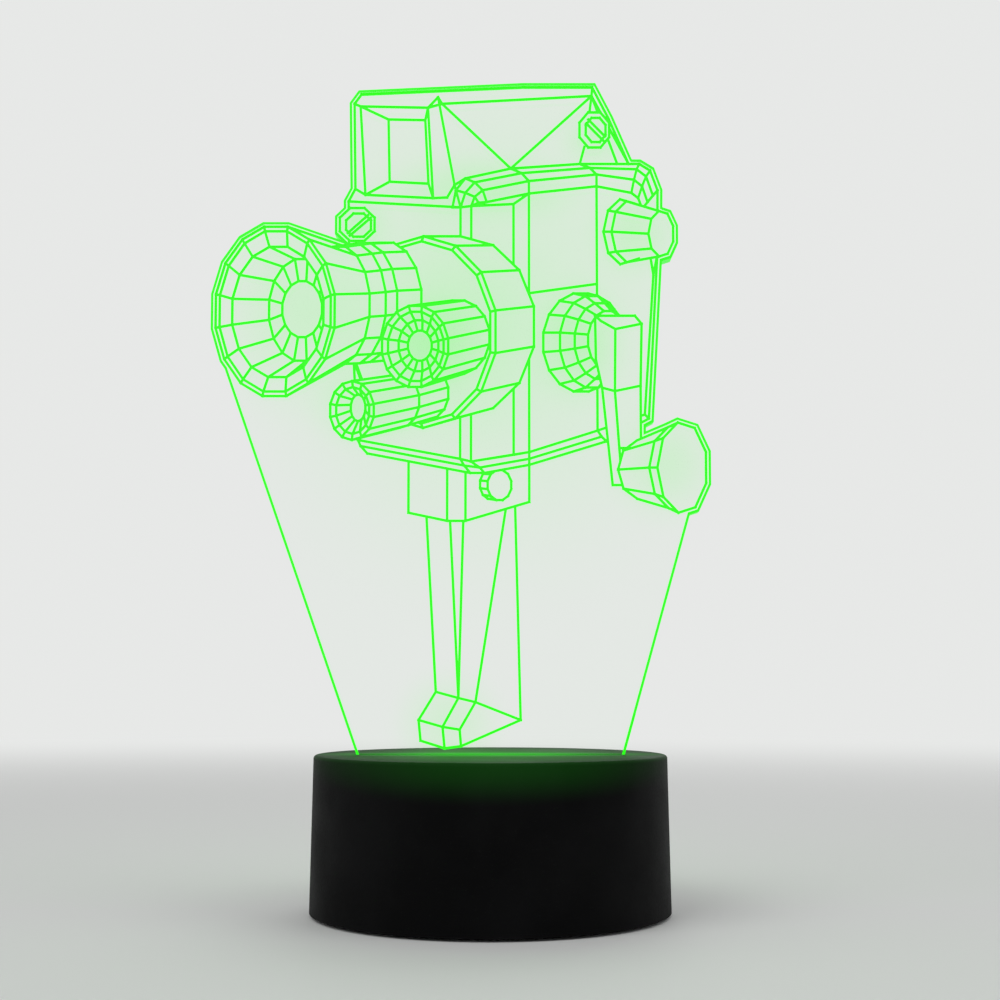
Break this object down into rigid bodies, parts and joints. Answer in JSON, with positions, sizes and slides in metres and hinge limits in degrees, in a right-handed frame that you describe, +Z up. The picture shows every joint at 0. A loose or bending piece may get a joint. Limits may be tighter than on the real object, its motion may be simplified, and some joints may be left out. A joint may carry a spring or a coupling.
{
  "type": "edge-lit desk lamp",
  "caption": "Desk lamp with a clear engraved panel standing in the slot of a round black base, lit from below, with a push button, a charging socket and a battery box.",
  "frame": {"origin": "on the base's axis, in the plane that the lamp stands on", "axes": "+Z up, the panel lies in the X-Z plane and its engraved face looks along -Y; the button and the socket look along +Y"},
  "size_m": [0.1253, 0.0887, 0.2083],
  "materials": {
    "black_abs": "satin moulded black with a fine grain",
    "clear_acrylic": "polished clear sheet with frosted engraving",
    "cover_plastic": "matt moulded black",
    "white_board": "satin white solder mask",
    "green_board": "satin green solder mask",
    "diode": "clear yellow lens",
    "screw_steel": "bright zinc",
    "black_screw": "black oxide",
    "chip_black": "matt moulded",
    "ceramic_brown": "matt ceramic",
    "socket_steel": "bright nickel",
    "switch_black": "matt moulded",
    "plunger_white": "matt moulded",
    "button_black": "smooth black",
    "cell_sleeve": "printed film sleeve, plain",
    "contact_steel": "nickel plated spring steel",
    "red_pvc": "satin insulation",
    "black_pvc": "satin insulation",
    "foot_rubber": "matt rubber"
  },
  "bodies": {
    "base": {"base_housing": "black_abs", "bottom_cover": "cover_plastic", "led_board": "white_board", "led_chips": "diode", "led_board_screws": "screw_steel", "control_board": "green_board", "control_chip": "chip_black", "board_capacitors": "ceramic_brown", "board_resistors": "chip_black", "usb_shell": "socket_steel", "usb_tongue": "switch_black", "switch_body": "switch_black", "control_board_screws": "screw_steel", "battery_cell_1": "cell_sleeve", "battery_cell_2": "cell_sleeve", "battery_cell_3": "cell_sleeve", "positive_contact": "contact_steel", "negative_contact": "contact_steel", "right_bridge_contact": "contact_steel", "left_bridge_contact": "contact_steel", "battery_lead_red": "red_pvc", "battery_lead_black": "black_pvc", "led_lead_red": "red_pvc", "led_lead_black": "black_pvc", "cover_screws": "black_screw", "rubber_feet": "foot_rubber"},
    "panel": {"acrylic_panel": "clear_acrylic"},
    "door": {"battery_door": "cover_plastic"},
    "button": {"power_button": "button_black", "switch_plunger": "plunger_white"}
  },
  "joints": [
    {"name": "panel_lift", "type": "slide", "parent": "base", "child": "panel", "axis": [0, 0, 1], "range_m": [0, 0.013]},
    {"name": "power_button_push", "type": "slide", "parent": "base", "child": "button", "axis": [0, -1, 0], "range_m": [0, 0.0006], "stiffness_N_per_m": 1500, "springref_m": -0.0004},
    {"name": "battery_door_hinge", "type": "hinge", "parent": "base", "child": "door", "pos_m": [0, -0.021, 0.002], "axis": [-1, 0, 0], "range_deg": [0, 80]}
  ]
}
